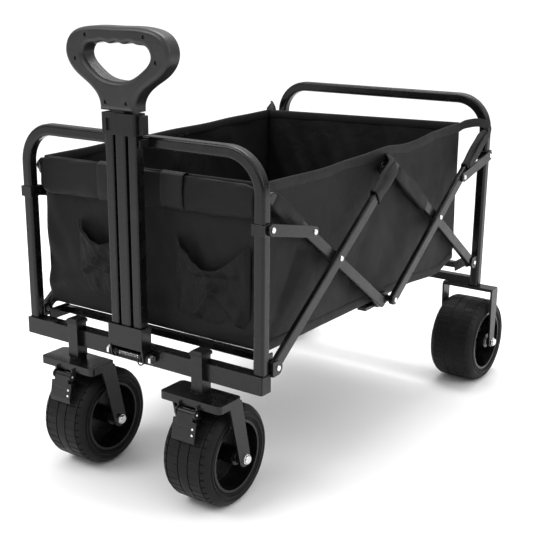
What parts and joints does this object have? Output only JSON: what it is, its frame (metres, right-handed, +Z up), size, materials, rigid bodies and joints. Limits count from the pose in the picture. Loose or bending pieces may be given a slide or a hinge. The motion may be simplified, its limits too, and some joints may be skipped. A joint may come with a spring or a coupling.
{
  "type": "folding camp wagon",
  "caption": "Folding camp wagon: fabric basket on side scissors between two tube hoops, wide wheels, swivel front casters and a tilting telescopic handle.",
  "frame": {"origin": "on the floor, under the middle of the wagon's box", "axes": "+Z up, -Y towards the pull handle, +X across the wagon"},
  "size_m": [0.604, 0.953, 0.7803],
  "materials": {
    "frame_paint": "satin black powder coat",
    "chrome": "bright plated",
    "spring_steel": "bare steel",
    "black_plastic": "fine texture",
    "grip_plastic": "fine leather grain",
    "tyre_rubber": "matt moulded tread",
    "rim_plastic": "satin",
    "basket_fabric": "coated black oxford weave"
  },
  "bodies": {
    "front_frame": {"front_beam": "frame_paint", "front_hoop": "frame_paint", "stem_sleeves": "frame_paint", "frame_caps": "black_plastic", "front_pivot_brackets": "frame_paint", "front_pivot_rivets": "chrome", "front_link_clips": "frame_paint", "hinge_lugs": "frame_paint", "hinge_bolt": "chrome", "hinge_spring": "spring_steel", "hinge_ring": "spring_steel", "handle_catch": "black_plastic", "front_cross_tube": "frame_paint", "basket_front": "basket_fabric"},
    "handle": {"handle_base": "frame_paint", "handle_rails": "frame_paint", "handle_collar": "black_plastic"},
    "release_key": {"release_key": "black_plastic"},
    "handle_upper": {"centre_tube": "frame_paint", "grip_front": "grip_plastic", "grip_back": "grip_plastic", "grip_screws": "spring_steel"},
    "front_outer": {"front_outer_bars": "frame_paint", "front_cross_rivets": "chrome"},
    "front_inner": {"front_inner_bars": "frame_paint"},
    "top_hubs": {"top_hubs": "frame_paint"},
    "rear_inner": {"rear_inner_bars": "frame_paint"},
    "rear_outer": {"rear_outer_bars": "frame_paint", "rear_cross_rivets": "chrome"},
    "low_hub": {"low_hub": "frame_paint", "basket_side_left": "basket_fabric", "basket_side_right": "basket_fabric", "basket_floor": "basket_fabric"},
    "front_stays": {"front_stays": "frame_paint", "front_stay_rivets": "chrome"},
    "rear_stays": {"rear_stays": "frame_paint", "rear_stay_rivets": "chrome"},
    "rear_frame": {"rear_hoop": "frame_paint", "rear_beam": "frame_paint", "rear_forks": "frame_paint", "rear_axles": "chrome", "rear_pivot_brackets": "frame_paint", "rear_pivot_rivets": "chrome", "rear_link_clips": "frame_paint", "rear_cross_tube": "frame_paint", "basket_rear": "basket_fabric"},
    "caster_left": {"caster_fork_left": "frame_paint", "caster_bolts_left": "chrome"},
    "front_wheel_left": {"front_tyre_left": "tyre_rubber", "front_rim_left": "rim_plastic"},
    "brake_left": {"brake_pedal_left": "frame_paint"},
    "rear_wheel_left": {"rear_tyre_left": "tyre_rubber", "rear_rim_left": "rim_plastic"},
    "caster_right": {"caster_fork_right": "frame_paint", "caster_bolts_right": "chrome"},
    "front_wheel_right": {"front_tyre_right": "tyre_rubber", "front_rim_right": "rim_plastic"},
    "brake_right": {"brake_pedal_right": "frame_paint"},
    "rear_wheel_right": {"rear_tyre_right": "tyre_rubber", "rear_rim_right": "rim_plastic"}
  },
  "joints": [
    {"name": "fold", "type": "hinge", "parent": "front_frame", "child": "front_outer", "pos_m": [0, -0.3885, 0.264], "axis": [1, 0, 0], "range_deg": [0, 49.7], "deforming": ["basket_side_left", "basket_side_right", "basket_floor"]},
    {"name": "front_cross", "type": "hinge", "parent": "front_outer", "child": "front_inner", "pos_m": [0, -0.1985, 0.39903], "axis": [1, 0, 0], "range_deg": [-99.41, 0]},
    {"name": "top_front", "type": "hinge", "parent": "front_outer", "child": "top_hubs", "pos_m": [0, -0.0255, 0.52197], "axis": [1, 0, 0], "range_deg": [-49.7, 0]},
    {"name": "low_rear", "type": "hinge", "parent": "low_hub", "child": "rear_outer", "pos_m": [0, 0.0005, 0.27608], "axis": [1, 0, 0], "range_deg": [0, 49.7]},
    {"name": "rear_cross", "type": "hinge", "parent": "rear_outer", "child": "rear_inner", "pos_m": [0, 0.1735, 0.39903], "axis": [1, 0, 0], "range_deg": [-99.41, 0]},
    {"name": "rear_foot", "type": "hinge", "parent": "rear_inner", "child": "rear_frame", "pos_m": [0, 0.3635, 0.264], "axis": [1, 0, 0], "range_deg": [0, 49.7]},
    {"name": "low_front", "type": "hinge", "parent": "front_inner", "child": "low_hub", "pos_m": [0, -0.0255, 0.27608], "axis": [1, 0, 0], "range_deg": [0, 49.7]},
    {"name": "front_stay", "type": "hinge", "parent": "front_frame", "child": "front_stays", "pos_m": [0, -0.4075, 0.4895], "axis": [1, 0, 0], "range_deg": [0, 88.38]},
    {"name": "rear_stay", "type": "hinge", "parent": "rear_frame", "child": "rear_stays", "pos_m": [0, 0.3825, 0.4895], "axis": [1, 0, 0], "range_deg": [-88.38, 0]},
    {"name": "handle_tilt", "type": "hinge", "parent": "front_frame", "child": "handle", "pos_m": [0, -0.4385, 0.244], "axis": [1, 0, 0], "range_deg": [0, 85]},
    {"name": "handle_slide", "type": "slide", "parent": "handle", "child": "handle_upper", "axis": [0, 0, 1], "range_m": [0, 0.28]},
    {"name": "release_press", "type": "slide", "parent": "handle", "child": "release_key", "axis": [-1, 0, 0], "range_m": [0, 0.0025], "stiffness_N_per_m": 400, "springref_m": -0.0005},
    {"name": "swivel_left", "type": "hinge", "parent": "front_frame", "child": "caster_left", "pos_m": [-0.138, -0.4245, 0.206], "axis": [0, 0, 1], "continuous": true},
    {"name": "front_spin_left", "type": "hinge", "parent": "caster_left", "child": "front_wheel_left", "pos_m": [-0.138, -0.3875, 0.089], "axis": [1, 0, 0], "continuous": true},
    {"name": "brake_press_left", "type": "hinge", "parent": "caster_left", "child": "brake_left", "pos_m": [-0.138, -0.4615, 0.182], "axis": [-1, 0, 0], "range_deg": [0, 30]},
    {"name": "rear_spin_left", "type": "hinge", "parent": "rear_frame", "child": "rear_wheel_left", "pos_m": [-0.237, 0.3875, 0.089], "axis": [1, 0, 0], "continuous": true},
    {"name": "swivel_right", "type": "hinge", "parent": "front_frame", "child": "caster_right", "pos_m": [0.138, -0.4245, 0.206], "axis": [0, 0, 1], "continuous": true},
    {"name": "front_spin_right", "type": "hinge", "parent": "caster_right", "child": "front_wheel_right", "pos_m": [0.138, -0.3875, 0.089], "axis": [1, 0, 0], "continuous": true},
    {"name": "brake_press_right", "type": "hinge", "parent": "caster_right", "child": "brake_right", "pos_m": [0.138, -0.4615, 0.182], "axis": [-1, 0, 0], "range_deg": [0, 30]},
    {"name": "rear_spin_right", "type": "hinge", "parent": "rear_frame", "child": "rear_wheel_right", "pos_m": [0.237, 0.3875, 0.089], "axis": [1, 0, 0], "continuous": true}
  ],
  "couplings": [
    {"joint": "front_cross", "follows": "fold", "ratio": -2},
    {"joint": "top_front", "follows": "fold", "ratio": -1},
    {"joint": "low_rear", "follows": "fold", "ratio": 1},
    {"joint": "rear_cross", "follows": "fold", "ratio": -2},
    {"joint": "rear_foot", "follows": "fold", "ratio": 1},
    {"joint": "low_front", "follows": "fold", "ratio": 1},
    {"joint": "front_stay", "follows": "fold", "ratio": 1.7781},
    {"joint": "rear_stay", "follows": "fold", "ratio": -1.7781}
  ]
}
